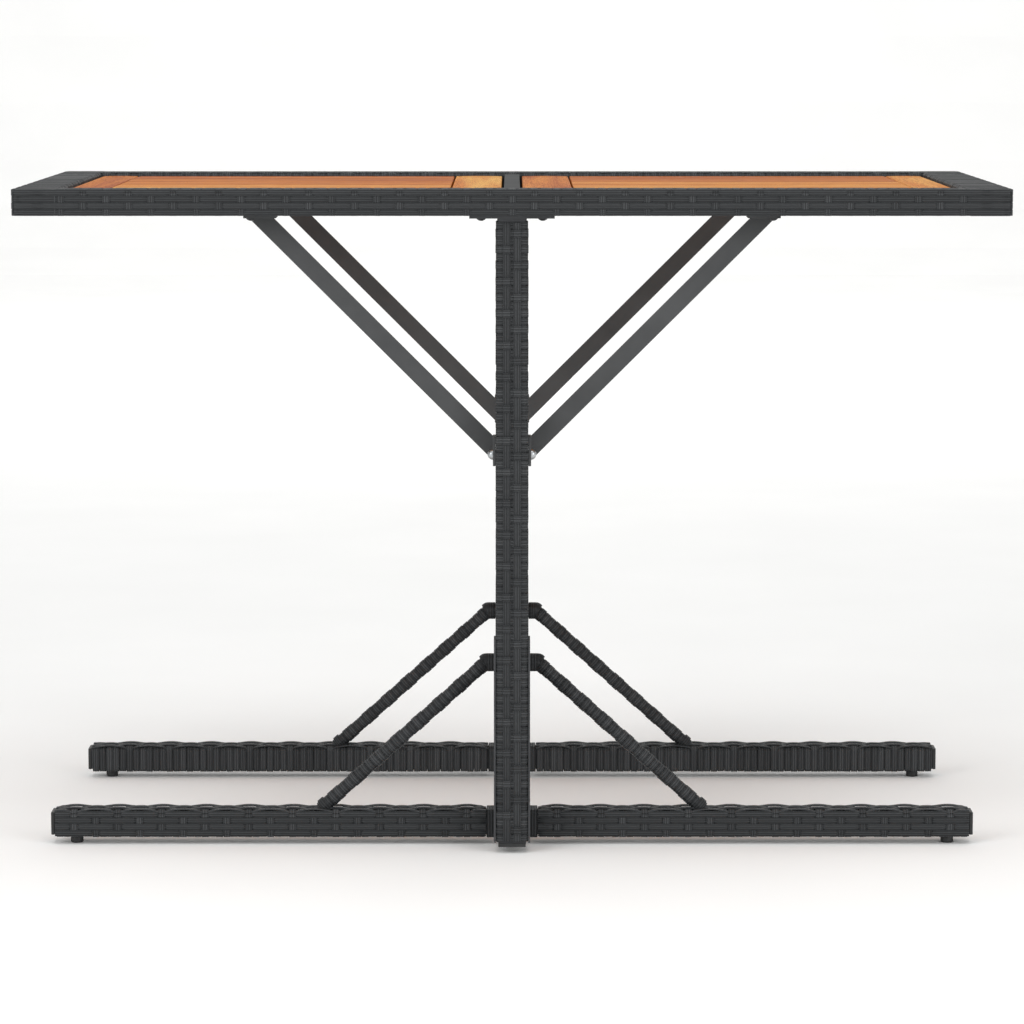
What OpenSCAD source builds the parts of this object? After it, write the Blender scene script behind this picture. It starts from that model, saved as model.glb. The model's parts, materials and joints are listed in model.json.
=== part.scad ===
// Rectangular garden table: a slatted hardwood top in a woven frame, on two posts.
// Each post stands on a woven base rail and carries four sloping braces.
// +X is the length, -Y the front, +Z up. The origin is on the floor under the top's centre.

/* [Overall] */
// Length of the tabletop
table_l = 1100; // [880:1:1400]
// Width of the tabletop
table_w = 530; // [430:1:700]
// Height of the woven top edge above the floor
table_h = 744; // [600:1:900]

/* [Tabletop frame] */
// Width of the frame's steel tube, seen from above
top_tube_w = 45; // [35:1:60]
// Height of the frame's steel tube
top_tube_h = 25; // [20:0.5:35]
// Wall of the thin steel tubes
tube_wall = 1.2; // [1:0.1:2]
// Thickness of the weave on the tabletop frame
top_skin = 2.25; // [1.5:0.25:3]
// Width of the bare crossbar between the two wood panels
cross_w = 18; // [14:1:30]

/* [Wood panels] */
// Thickness of the boards
board_t = 14; // [10:0.5:16]
// Depth of the boards' top below the woven top edge
board_recess = 4; // [1:0.5:6]
// Gap between neighbouring boards
board_gap = 2; // [1:0.5:5]
// Gap between a panel and the woven frame around it
panel_gap = 2.5; // [1.5:0.5:6]
// Gap between a panel and the crossbar
cross_gap = 3; // [2:0.5:6]
// Width of the cross board beside the crossbar
inner_end_w = 56; // [40:1:80]
// Width of the cross board at the table's end
outer_end_w = 42.5; // [36:0.5:70]
// Width of the battens under the boards
batten_w = 30; // [24:1:40]
// Thickness of the battens
batten_t = 8; // [6:0.5:10]

/* [Posts] */
// Side of the post's square steel tube
post_tube = 30; // [25:1:40]
// Thickness of the weave on the posts
post_skin = 3.25; // [2:0.25:4]
// Wall of the post's tube
post_wall = 1.5; // [1.2:0.1:2.5]
// Height of the post's end cap above the floor
post_clear = 7; // [3:0.5:20]
// Length of the plate on top of the post
top_plate_l = 94; // [80:1:140]
// Width of the plate on top of the post
top_plate_w = 36; // [30:1:45]
// Thickness of the plates and ears
plate_t = 3; // [2:0.5:5]
// Distance of the plate's bolts from the post's centre
plate_bolt_x = 34; // [30:1:50]

/* [Base] */
// Length of the steel in the base rails, end to end
base_l = 1038; // [800:2:1300]
// Side of the rail's square steel tube
rail_tube = 25; // [20:1:35]
// Thickness of the weave on the rails
rail_skin = 3.4; // [2:0.2:4]
// Distance of the rails from the posts, centre to centre across the table
rail_inset = 47; // [44:0.5:70]
// Height of the glides under the rails
glide_h = 7.8; // [5:0.2:20]
// Diameter of the glides
glide_d = 14.4; // [11:0.2:22]
// Distance of the glides from the rails' ends
glide_inset = 24; // [15:1:80]
// Thickness of the steel of the base brackets
bracket_t = 2; // [1.5:0.5:4]
// Height of the bracket's lower edge above the floor
bracket_z = 12; // [10:0.5:20]
// Height of the bracket's upper edge above the floor
bracket_top = 242; // [220:1:320]

/* [Lower braces] */
// Diameter of the brace's steel tube
low_tube_d = 12; // [10:0.5:18]
// Thickness of the weave on the lower braces
low_skin = 1.5; // [1:0.25:2.5]
// Height at which the braces leave the bracket
low_hub_z = 207; // [170:1:210]
// Length of the straight end at the bracket
low_stub = 9; // [6:0.5:20]
// Distance from the table's centre at which the braces meet the rails
low_foot_x = 216; // [170:1:300]

/* [Upper braces] */
// Width of the flat bar
up_w = 19.5; // [14:0.5:30]
// Height at which the bar's centre line meets the post
up_post_z = 451; // [380:1:480]
// Distance from the table's centre at which the bar's centre line meets the top
up_top_x = 279; // [200:1:330]
// Distance of the bar's face inside the post's centre plane
up_inset = 18; // [16:0.5:24]
// Height of the ear on the post
ear_h = 32; // [26:1:45]
// Length of the ear under the top
ear_l = 36; // [30:1:50]

/* [Fasteners] */
// Diameter of the bolts
bolt_d = 6; // [5:1:8]
// Diameter of the bolt heads
head_d = 12; // [10:0.5:14]
// Height of the low bolt heads
head_h = 3.4; // [2.5:0.1:5]
// Height of the domed heads on the posts
dome_h = 6; // [3:0.5:6]
// Length of the bolts under the head
bolt_l = 14; // [12:1:16]
// Outer diameter of the rivet nuts
nut_d = 9; // [8.5:0.5:12]
// Clearance of a bolt in its hole, on the diameter
bolt_fit = 0.5; // [0.2:0.1:1]
// Clearance of a rivet nut in its hole, on the diameter
nut_fit = 0.2; // [0.1:0.1:0.5]
// Clearance round a piece that passes through the weave
weave_fit = 0.4; // [0.2:0.1:1]
// Diameter of the wood screws
screw_d = 3.5; // [3:0.5:4.5]

/* [Hidden] */
$fn = 48;

weave_colour = "#3c3e40";
steel_colour = "#4b4c4e";
plastic_colour = "#1c1c1d";
bolt_colour = "#a9abad";
wood_colours = ["#c9783a", "#d98d4a", "#cf8240", "#dd9b5c", "#c87334"];
eps = 0.01;
// How far a cutting shape reaches past what it cuts
cut = 1;

// Tabletop frame: outer section of the weave, and the levels of the tube
top_w = top_tube_w + 2 * top_skin;
top_h = top_tube_h + 2 * top_skin;
top_z = table_h - top_h;
top_tube_z = top_z + top_skin;
tube_in_x = table_l / 2 - top_skin - top_tube_w;
tube_in_y = table_w / 2 - top_skin - top_tube_w;

// Boards: one panel on each side of the crossbar, with a node for each of its long boards
long_boards = 5;
board_z = table_h - board_recess - board_t;
panel_x0 = cross_w / 2 + cross_gap;
panel_x1 = table_l / 2 - top_w - panel_gap;
panel_y = table_w / 2 - top_w - panel_gap;
long_x0 = panel_x0 + inner_end_w + board_gap;
long_x1 = panel_x1 - outer_end_w - board_gap;
long_w = (2 * panel_y - (long_boards - 1) * board_gap) / long_boards;

// Battens: one under each joint between cross board and long boards, one halfway
batten_margin = 14;
batten_y = panel_y - batten_margin;
batten_xs = [long_x0 - board_gap / 2, (long_x0 + long_x1) / 2, long_x1 + board_gap / 2];
screw_sink = 9;

// Lugs: welded to the inside of the frame, under the ends of the cross boards
lug_w = 20;
lug_d = 26;
lug_margin = 1;
lug_screw_in = 12;
lug_xs = [panel_x0 + lug_margin + lug_w / 2, panel_x1 - lug_margin - lug_w / 2];
lug_screw_y = panel_y - lug_screw_in;

// Posts: centred under the frame's long sides
post_y = table_w / 2 - top_w / 2;
post_w = post_tube + 2 * post_skin;
cap_t = 5;
cap_over = 0.5;
plug_l = 14;
plug_fit = 0.2;
post_z = post_clear + cap_t;
weave_gap = 1;
plate_z = top_z - plate_t;
neck_h = 3.5;

// Base rails
rail_y = post_y - rail_inset;
rail_w = rail_tube + 2 * rail_skin;
rail_z = glide_h + rail_skin;
rail_x0 = post_w / 2 + bracket_t;
rail_x1 = base_l / 2;
rail_top = glide_h + rail_w;
rail_cap_t = 4;
glide_x = rail_x1 - glide_inset;
glide_stem_d = 8;
glide_stem_l = 4;

// Lower braces: slope from the bracket's hub to the rail's upper face
low_x0 = rail_x0 + low_stub;
low_run = low_foot_x - low_x0;
low_drop = low_hub_z - rail_top;
low_angle = atan2(low_drop, low_run);
low_len = norm([low_run, low_drop]) + 3 * low_tube_d;

// Upper braces: flat bar between the post's ear and the ear under the top
up_y = post_y - up_inset;
up_rise = plate_z - up_post_z;
up_run = up_top_x - post_w / 2;
up_angle = atan2(up_rise, up_run);
ear_margin = 0.5;
ear_d = post_tube / 2 + up_inset - ear_margin;
ear_shift = 2;
post_ear_z = up_post_z + ear_shift;
post_bolt_z = up_post_z - ear_shift;
ear_over = 3;
top_bolt_shift = 9;
top_bolt_x = up_top_x + top_bolt_shift;

// Rivet nuts
nut_flange_t = 1;
nut_flange_d = nut_d + 4;
nut_l = 11;
nut_bore = bolt_d + nut_fit;
bracket_bolt_zs = [60, 175];

// ---- Helpers ----

// Places a piece drawn in the right back quarter into one of the four quarters
module quarter(sx, sy) {
    mirror([sx < 0 ? 1 : 0, 0, 0])
        mirror([0, sy < 0 ? 1 : 0, 0])
            children();
}

// Bar along X with both ends mitred at 45 degrees; its outer side lies on Y = 0
module mitred_bar(l, w, h) {
    linear_extrude(h)
        polygon([[-l / 2, 0], [l / 2, 0], [l / 2 - w, -w], [-l / 2 + w, -w]]);
}

// Straight bore along X for a mitred bar, w wide and h high, its outer side on Y = 0
module long_bore(l, w, h) {
    translate([-l, -w, 0]) cube([2 * l, w, h]);
}

// Box given by its two corners
module block(a, b) {
    translate(a) cube(b - a);
}

// Square tube that stands on z0, centred on the axis
module square_tube(side, wall, h) {
    difference() {
        translate([-side / 2, -side / 2, 0]) cube([side, side, h]);
        translate([-side / 2 + wall, -side / 2 + wall, -eps])
            cube([side - 2 * wall, side - 2 * wall, h + 2 * eps]);
    }
}

// Bolt along Z: the head hangs below Z = 0, the shank rises from it
module bolt(h) {
    ball_r = (head_d * head_d / 4 + h * h) / (2 * h);
    intersection() {
        translate([0, 0, ball_r - h]) sphere(r = ball_r);
        translate([0, 0, -h]) cylinder(d = head_d, h = h);
    }
    cylinder(d = bolt_d, h = bolt_l);
}

// Blind rivet nut along Z: the tube's outer face is Z = 0, the flange lies below it
module rivet_nut() {
    difference() {
        union() {
            translate([0, 0, -nut_flange_t]) cylinder(d = nut_flange_d, h = nut_flange_t);
            cylinder(d = nut_d, h = nut_l);
        }
        translate([0, 0, -nut_flange_t - eps]) cylinder(d = nut_bore, h = nut_l + nut_flange_t + cut);
    }
}

// Room for a rivet nut: its hole in the steel and its flange in the weave
module nut_room(skin) {
    cylinder(d = nut_d + nut_fit, h = nut_l);
    translate([0, 0, -skin - eps]) cylinder(d = nut_flange_d + weave_fit, h = skin + eps);
}

// Places its children at the bolts under the tabletop frame, Z = 0 on the tube's face
module at_top_bolts() {
    for (x = [plate_bolt_x, top_bolt_x])
        translate([x, post_y, top_tube_z]) children();
}

// Places its children at the bolts in a post's side, Z = 0 on the tube's face
module at_post_bolt() {
    translate([post_tube / 2, post_y, post_bolt_z]) rotate([0, -90, 0]) children();
}

// Places its children at the bolts in a post's inner face, Z = 0 on the tube's face
module at_bracket_bolts() {
    for (z = bracket_bolt_zs)
        translate([0, post_y - post_tube / 2, z]) rotate([-90, 0, 0]) children();
}

// ---- Tabletop frame ----

// Long tube of the frame, at the back
module long_tube() {
    difference() {
        translate([0, table_w / 2 - top_skin, top_tube_z])
            mitred_bar(table_l - 2 * top_skin, top_tube_w, top_tube_h);
        translate([0, table_w / 2 - top_skin - tube_wall, top_tube_z + tube_wall])
            long_bore(table_l, top_tube_w - 2 * tube_wall, top_tube_h - 2 * tube_wall);
        for (sx = [-1, 1])
            quarter(sx, 1) at_top_bolts() nut_room(top_skin);
    }
}

// Short tube of the frame, at the right end
module short_tube() {
    rotate([0, 0, -90])
        difference() {
            translate([0, table_l / 2 - top_skin, top_tube_z])
                mitred_bar(table_w - 2 * top_skin, top_tube_w, top_tube_h);
            translate([0, table_l / 2 - top_skin - tube_wall, top_tube_z + tube_wall])
                long_bore(table_w, top_tube_w - 2 * tube_wall, top_tube_h - 2 * tube_wall);
        }
}

module frame_long(sy) {
    color(steel_colour) quarter(1, sy) long_tube();
}

module frame_short(sx) {
    color(steel_colour) quarter(sx, 1) short_tube();
}

// Crossbar between the long tubes, level with them
module crossbar() {
    color(steel_colour)
        difference() {
            block([-cross_w / 2, -tube_in_y, top_tube_z],
                  [cross_w / 2, tube_in_y, top_tube_z + top_tube_h]);
            block([-cross_w / 2 + tube_wall, -tube_in_y - eps, top_tube_z + tube_wall],
                  [cross_w / 2 - tube_wall, tube_in_y + eps, top_tube_z + top_tube_h - tube_wall]);
        }
}

// One lug under the end of a cross board, grown by a margin where it cuts the weave
module lug(x, grow) {
    block([x - lug_w / 2 - grow, tube_in_y - lug_d, board_z - plate_t - grow],
          [x + lug_w / 2 + grow, tube_in_y, board_z + grow]);
}

module lugs() {
    color(steel_colour)
        for (sx = [-1, 1], sy = [-1, 1], x = lug_xs)
            quarter(sx, sy)
                difference() {
                    lug(x, 0);
                    translate([x, lug_screw_y, board_z]) screw_room(plate_t);
                }
}

// Weave on a long side of the frame, with room for the crossbar, lugs and bolts
module weave_long(sy) {
    color(weave_colour)
        quarter(1, sy)
            difference() {
                translate([0, table_w / 2, top_z]) mitred_bar(table_l, top_w, top_h);
                translate([0, table_w / 2 - top_skin, top_tube_z])
                    long_bore(table_l, top_tube_w, top_tube_h);
                block([-cross_w / 2 - weave_fit, tube_in_y - 2 * top_skin, top_tube_z - weave_fit],
                      [cross_w / 2 + weave_fit, tube_in_y + eps, table_h + cut]);
                for (sx = [-1, 1])
                    quarter(sx, 1) {
                        at_top_bolts() nut_room(top_skin);
                        for (x = lug_xs)
                            translate([0, eps, 0]) lug(x, weave_fit);
                    }
            }
}

// Weave on a short side of the frame
module weave_short(sx) {
    color(weave_colour)
        quarter(sx, 1)
            rotate([0, 0, -90])
                difference() {
                    translate([0, table_l / 2, top_z]) mitred_bar(table_w, top_w, top_h);
                    translate([0, table_l / 2 - top_skin, top_tube_z])
                        long_bore(table_w, top_tube_w, top_tube_h);
                }
}

// ---- Wood panels ----

// Places its children at every screw of one panel, Z = 0 on the boards' lower face
module at_board_screws() {
    for (x = batten_xs, i = [0 : long_boards - 1])
        translate([x + screw_side(x), long_y(i), board_z]) children();
    for (x = [batten_xs[0] - batten_w / 4, batten_xs[2] + batten_w / 4], y = [-1, 0, 1])
        translate([x, y * (batten_y - batten_margin), board_z]) children();
}

// Shift of a screw from its batten's middle, so that it meets a long board
function screw_side(x) = x == batten_xs[0] ? batten_w / 4 : x == batten_xs[2] ? -batten_w / 4 : 0;

// Middle of long board i across the table
function long_y(i) = -panel_y + long_w / 2 + i * (long_w + board_gap);

// Screw that points up: its countersunk head fills the last part below the boards
module wood_screw(grip) {
    translate([0, 0, -grip]) cylinder(d1 = 2 * screw_d, d2 = screw_d, h = screw_d / 2);
    translate([0, 0, -grip]) cylinder(d = screw_d, h = grip + screw_sink);
}

// Room for that screw
module screw_room(grip) {
    play = 0.1;
    translate([0, 0, -grip - eps])
        cylinder(d1 = 2 * screw_d + play, d2 = screw_d + play, h = screw_d / 2);
    translate([0, 0, -grip - eps]) cylinder(d = screw_d + play, h = grip + screw_sink + play);
}

// Places its children at the lug screws of one panel
module at_lug_screws() {
    for (sy = [-1, 1], x = lug_xs)
        translate([x, sy * lug_screw_y, board_z]) children();
}

module board(sx, shade, a, b) {
    color(wood_colours[shade])
        quarter(sx, 1)
            difference() {
                block(a, b);
                at_board_screws() screw_room(batten_t);
                at_lug_screws() screw_room(plate_t);
            }
}

module inner_end_board(sx) {
    board(sx, 1, [panel_x0, -panel_y, board_z],
          [panel_x0 + inner_end_w, panel_y, board_z + board_t]);
}

module outer_end_board(sx) {
    board(sx, 2, [panel_x1 - outer_end_w, -panel_y, board_z],
          [panel_x1, panel_y, board_z + board_t]);
}

// Long board i, counted from the front
module long_board(sx, i) {
    board(sx, (2 * i + 3) % len(wood_colours), [long_x0, long_y(i) - long_w / 2, board_z],
          [long_x1, long_y(i) + long_w / 2, board_z + board_t]);
}

module battens(sx) {
    color(wood_colours[4])
        quarter(sx, 1)
            difference() {
                for (x = batten_xs)
                    block([x - batten_w / 2, -batten_y, board_z - batten_t],
                          [x + batten_w / 2, batten_y, board_z]);
                at_board_screws() screw_room(batten_t);
            }
}

module wood_screws() {
    color(bolt_colour)
        for (sx = [-1, 1])
            quarter(sx, 1) {
                at_board_screws() wood_screw(batten_t);
                at_lug_screws() wood_screw(plate_t);
            }
}

// ---- Posts ----

// Post: square tube with the top plate welded on
module post(sy) {
    color(steel_colour)
        quarter(1, sy)
            difference() {
                union() {
                    translate([0, post_y, post_z])
                        square_tube(post_tube, post_wall, plate_z - post_z);
                    translate([-top_plate_l / 2, post_y - top_plate_w / 2, plate_z])
                        cube([top_plate_l, top_plate_w, plate_t]);
                }
                for (sx = [-1, 1])
                    quarter(sx, 1) {
                        at_post_bolt() nut_room(post_skin);
                        translate([plate_bolt_x, post_y, plate_z - cut])
                            cylinder(d = bolt_d + bolt_fit, h = plate_t + 2 * cut);
                    }
                at_bracket_bolts() nut_room(post_skin);
            }
}

// Weave on the post, from just above the cap to the bare neck
module weave_post(sy) {
    color(weave_colour)
        quarter(1, sy)
            difference() {
                translate([0, post_y, post_z + weave_gap])
                    square_tube(post_w, post_skin, plate_z - neck_h - post_z - weave_gap);
                for (sx = [-1, 1])
                    quarter(sx, 1) at_post_bolt() nut_room(post_skin);
                at_bracket_bolts() nut_room(post_skin);
            }
}

// Push-in cap: a flange outside the tube and a plug inside it
module end_cap(tube, wall, t) {
    flange = tube + 2 * cap_over;
    plug = tube - 2 * wall - plug_fit;
    translate([-flange / 2, -flange / 2, -t]) cube([flange, flange, t]);
    translate([-plug / 2, -plug / 2, -eps]) cube([plug, plug, plug_l]);
}

module post_caps() {
    color(plastic_colour)
        for (sy = [-1, 1])
            quarter(1, sy) translate([0, post_y, post_z]) end_cap(post_tube, post_wall, cap_t);
}

// ---- Base ----

// Bracket: a folded channel that holds the post and carries both rails, lower at the rails' side
module bracket(sy) {
    inner_y = rail_y - rail_w / 2;
    outer_y = post_y + post_tube / 2;
    web_y = post_y - post_w / 2;
    hub_top = low_hub_z + low_tube_d;
    color(steel_colour)
        quarter(1, sy)
            difference() {
                translate([-rail_x0, 0, 0])
                    rotate([90, 0, 90])
                        linear_extrude(2 * rail_x0)
                            polygon([[inner_y, bracket_z], [outer_y, bracket_z],
                                     [outer_y, bracket_top], [web_y, bracket_top],
                                     [inner_y, hub_top]]);
                block([-post_w / 2, web_y, bracket_z - cut],
                      [post_w / 2, outer_y + cut, bracket_top + cut]);
                block([-post_w / 2, inner_y - cut, bracket_z - cut],
                      [post_w / 2, web_y - bracket_t, bracket_top + cut]);
                at_bracket_bolts()
                    translate([0, 0, -post_skin - bracket_t - cut])
                        cylinder(d = bolt_d + bolt_fit, h = bracket_t + 2 * cut);
            }
}

// Rail tube from the bracket to the open end
module rail(sx, sy) {
    color(steel_colour)
        quarter(sx, sy)
            difference() {
                block([rail_x0, rail_y - rail_tube / 2, rail_z],
                      [rail_x1, rail_y + rail_tube / 2, rail_z + rail_tube]);
                block([rail_x0 - cut, rail_y - rail_tube / 2 + tube_wall, rail_z + tube_wall],
                      [rail_x1 + cut, rail_y + rail_tube / 2 - tube_wall,
                       rail_z + rail_tube - tube_wall]);
                translate([glide_x, rail_y, rail_z - cut])
                    cylinder(d = glide_stem_d + nut_fit, h = tube_wall + 2 * cut);
            }
}

// Weave on a rail, with room for the brace and the glide
module weave_rail(sx, sy) {
    color(weave_colour)
        quarter(sx, sy)
            difference() {
                block([rail_x0, rail_y - rail_w / 2, glide_h],
                      [rail_x1, rail_y + rail_w / 2, rail_top]);
                block([rail_x0 - cut, rail_y - rail_tube / 2, rail_z],
                      [rail_x1 + cut, rail_y + rail_tube / 2, rail_z + rail_tube]);
                low_slope(low_tube_d + weave_fit);
                translate([glide_x, rail_y, glide_h - cut])
                    cylinder(d = glide_stem_d + weave_fit, h = rail_skin + 2 * cut);
            }
}

// Sloping rod of a lower brace, from the hub down past the rail's upper face
module low_slope(d) {
    translate([low_x0, rail_y, low_hub_z])
        rotate([0, 90 + low_angle, 0])
            cylinder(d = d, h = low_len);
}

// Space on one side of the mitre at the hub: 1 is towards the slope, -1 towards the bracket
module beyond_mitre(side) {
    reach = 3 * low_tube_d;
    translate([low_x0, rail_y, low_hub_z])
        rotate([0, low_angle / 2, 0])
            block([side < 0 ? -reach : 0, -reach, -reach], [side < 0 ? 0 : reach, reach, reach]);
}

// Rod of a lower brace: its short straight end and the slope, mitred together
module low_rod(d, start) {
    difference() {
        translate([rail_x0 + start, rail_y, low_hub_z])
            rotate([0, 90, 0]) cylinder(d = d, h = low_stub - start + d);
        beyond_mitre(1);
    }
    difference() {
        translate([low_x0, rail_y, low_hub_z])
            rotate([0, 90 + low_angle, 0])
                translate([0, 0, -d]) cylinder(d = d, h = low_len + d);
        beyond_mitre(-1);
    }
}

// Space above a level, from the bracket outwards
module above(z) {
    block([rail_x0, rail_y - rail_w, z], [rail_x1, rail_y + rail_w, bracket_top + low_tube_d]);
}

module lower_brace(sx, sy) {
    color(steel_colour)
        quarter(sx, sy)
            intersection() {
                above(rail_z + rail_tube);
                difference() {
                    low_rod(low_tube_d, 0);
                    low_rod(low_tube_d - 2 * tube_wall, -cut);
                }
            }
}

module weave_brace(sx, sy) {
    color(weave_colour)
        quarter(sx, sy)
            intersection() {
                above(rail_top);
                difference() {
                    low_rod(low_tube_d + 2 * low_skin, 0);
                    low_rod(low_tube_d, -cut);
                }
            }
}

module rail_caps() {
    color(plastic_colour)
        for (sx = [-1, 1], sy = [-1, 1])
            quarter(sx, sy)
                translate([rail_x1, rail_y, rail_z + rail_tube / 2])
                    rotate([0, -90, 0]) end_cap(rail_tube, tube_wall, rail_cap_t);
}

module glides() {
    color(plastic_colour)
        for (sx = [-1, 1], sy = [-1, 1])
            quarter(sx, sy)
                translate([glide_x, rail_y, 0]) {
                    cylinder(d = glide_d, h = glide_h);
                    cylinder(d = glide_stem_d, h = glide_h + rail_skin + glide_stem_l);
                }
}

// ---- Upper braces ----

// Flat bar with an ear at each end, bent towards the outside
module upper_brace(sx, sy) {
    half_v = up_w / 2 / cos(up_angle);
    half_h = up_w / 2 / sin(up_angle);
    post_x = post_w / 2;
    ear_x1 = up_top_x + half_h + ear_over;
    color(steel_colour)
        quarter(sx, sy)
            difference() {
                union() {
                    translate([0, up_y, 0])
                        rotate([90, 0, 0])
                            linear_extrude(plate_t)
                                polygon([[post_x, up_post_z - half_v],
                                         [post_x, up_post_z + half_v],
                                         [up_top_x - half_h, plate_z],
                                         [up_top_x + half_h, plate_z]]);
                    block([post_x, up_y - plate_t, post_ear_z - ear_h / 2],
                          [post_x + plate_t, up_y - plate_t + ear_d, post_ear_z + ear_h / 2]);
                    block([ear_x1 - ear_l, up_y - plate_t, plate_z],
                          [ear_x1, up_y - plate_t + ear_d, top_z]);
                }
                translate([post_x - cut, post_y, post_bolt_z])
                    rotate([0, 90, 0]) cylinder(d = bolt_d + bolt_fit, h = plate_t + 2 * cut);
                translate([top_bolt_x, post_y, plate_z - cut])
                    cylinder(d = bolt_d + bolt_fit, h = plate_t + 2 * cut);
            }
}

// ---- Fasteners ----

// Bolts up through the top plates and the braces' upper ears
module top_bolts() {
    color(plastic_colour)
        for (sx = [-1, 1], sy = [-1, 1])
            quarter(sx, sy)
                at_top_bolts() translate([0, 0, plate_z - top_tube_z]) bolt(head_h);
}

// Domed bolts through the braces' lower ears into the posts
module post_bolts() {
    color(bolt_colour)
        for (sx = [-1, 1], sy = [-1, 1])
            quarter(sx, sy)
                at_post_bolt() translate([0, 0, -post_skin - plate_t]) bolt(dome_h);
}

// Bolts through the brackets' webs into the posts
module bracket_bolts() {
    color(bolt_colour)
        for (sy = [-1, 1])
            quarter(1, sy)
                at_bracket_bolts() translate([0, 0, -post_skin - bracket_t]) bolt(head_h);
}

module rivet_nuts() {
    color(bolt_colour)
        for (sy = [-1, 1])
            quarter(1, sy) {
                at_bracket_bolts() rivet_nut();
                for (sx = [-1, 1])
                    quarter(sx, 1) {
                        at_top_bolts() rivet_nut();
                        at_post_bolt() rivet_nut();
                    }
            }
}

frame_long(-1);  // frame_tube_front
frame_long(1);  // frame_tube_back
frame_short(-1);  // frame_tube_left
frame_short(1);  // frame_tube_right
crossbar();  // centre_crossbar
lugs();  // panel_lugs
weave_long(-1);  // weave_top_front
weave_long(1);  // weave_top_back
weave_short(-1);  // weave_top_left
weave_short(1);  // weave_top_right
inner_end_board(-1);  // board_left_inner
outer_end_board(-1);  // board_left_outer
long_board(-1, 0);  // board_left_1
long_board(-1, 1);  // board_left_2
long_board(-1, 2);  // board_left_3
long_board(-1, 3);  // board_left_4
long_board(-1, 4);  // board_left_5
inner_end_board(1);  // board_right_inner
outer_end_board(1);  // board_right_outer
long_board(1, 0);  // board_right_1
long_board(1, 1);  // board_right_2
long_board(1, 2);  // board_right_3
long_board(1, 3);  // board_right_4
long_board(1, 4);  // board_right_5
battens(-1);  // battens_left
battens(1);  // battens_right
wood_screws();
post(-1);  // post_front
post(1);  // post_back
weave_post(-1);  // weave_post_front
weave_post(1);  // weave_post_back
post_caps();
rail(-1, -1);  // rail_front_left
rail(1, -1);  // rail_front_right
rail(-1, 1);  // rail_back_left
rail(1, 1);  // rail_back_right
weave_rail(-1, -1);  // weave_rail_front_left
weave_rail(1, -1);  // weave_rail_front_right
weave_rail(-1, 1);  // weave_rail_back_left
weave_rail(1, 1);  // weave_rail_back_right
bracket(-1);  // bracket_front
bracket(1);  // bracket_back
lower_brace(-1, -1);  // lower_brace_front_left
lower_brace(1, -1);  // lower_brace_front_right
lower_brace(-1, 1);  // lower_brace_back_left
lower_brace(1, 1);  // lower_brace_back_right
weave_brace(-1, -1);  // weave_brace_front_left
weave_brace(1, -1);  // weave_brace_front_right
weave_brace(-1, 1);  // weave_brace_back_left
weave_brace(1, 1);  // weave_brace_back_right
upper_brace(-1, -1);  // upper_brace_front_left
upper_brace(1, -1);  // upper_brace_front_right
upper_brace(-1, 1);  // upper_brace_back_left
upper_brace(1, 1);  // upper_brace_back_right
rail_caps();
glides();
top_bolts();
post_bolts();
bracket_bolts();
rivet_nuts();
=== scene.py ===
# Garden table: a slatted acacia top in a woven frame, on two woven posts with braced base rails.
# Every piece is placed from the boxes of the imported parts, in metres, with Z up.
import json
import math
import random

import bmesh
import bpy
from mathutils import Matrix, Vector

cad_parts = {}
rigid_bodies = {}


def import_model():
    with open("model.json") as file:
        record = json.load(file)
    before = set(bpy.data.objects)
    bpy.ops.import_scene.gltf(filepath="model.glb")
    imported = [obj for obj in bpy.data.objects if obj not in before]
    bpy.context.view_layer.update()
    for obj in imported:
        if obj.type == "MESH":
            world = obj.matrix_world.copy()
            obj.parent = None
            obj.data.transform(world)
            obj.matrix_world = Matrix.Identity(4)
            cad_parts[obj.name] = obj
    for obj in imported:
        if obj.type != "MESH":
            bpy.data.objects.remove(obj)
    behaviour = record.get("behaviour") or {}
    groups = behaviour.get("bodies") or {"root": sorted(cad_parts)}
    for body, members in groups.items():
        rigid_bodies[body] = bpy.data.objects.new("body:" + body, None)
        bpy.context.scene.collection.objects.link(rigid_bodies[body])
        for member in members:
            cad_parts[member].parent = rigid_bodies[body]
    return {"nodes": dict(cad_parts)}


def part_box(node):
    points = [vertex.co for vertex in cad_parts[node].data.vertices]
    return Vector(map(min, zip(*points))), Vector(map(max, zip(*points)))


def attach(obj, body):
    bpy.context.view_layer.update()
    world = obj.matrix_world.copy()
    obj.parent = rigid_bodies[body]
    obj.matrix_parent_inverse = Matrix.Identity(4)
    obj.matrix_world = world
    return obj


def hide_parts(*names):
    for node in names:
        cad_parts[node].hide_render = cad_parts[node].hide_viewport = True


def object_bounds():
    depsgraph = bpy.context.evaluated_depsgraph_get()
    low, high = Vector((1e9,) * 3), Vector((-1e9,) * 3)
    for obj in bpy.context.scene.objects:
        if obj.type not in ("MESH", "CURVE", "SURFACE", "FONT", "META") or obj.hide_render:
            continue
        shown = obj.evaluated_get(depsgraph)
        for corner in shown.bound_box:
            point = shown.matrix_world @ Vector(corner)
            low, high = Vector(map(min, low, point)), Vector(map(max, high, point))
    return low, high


for leftover in list(bpy.data.objects):
    bpy.data.objects.remove(leftover)
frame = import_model()
cad_low, cad_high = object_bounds()

# ---------------------------------------------------------------------------------------------
# Steel frame of the tabletop: four thin-walled rectangular tubes, mitred and welded, with a bare
# crossbar between the long ones and small lugs for the wood. Powder coated in a dark grey.
# ---------------------------------------------------------------------------------------------


def linear(hex_colour):
    """Linear RGBA of an sRGB hex colour."""
    channels = [int(hex_colour[i:i + 2], 16) / 255 for i in (1, 3, 5)]
    return [c / 12.92 if c <= 0.04045 else ((c + 0.055) / 1.055) ** 2.4 for c in channels] + [1.0]


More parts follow.
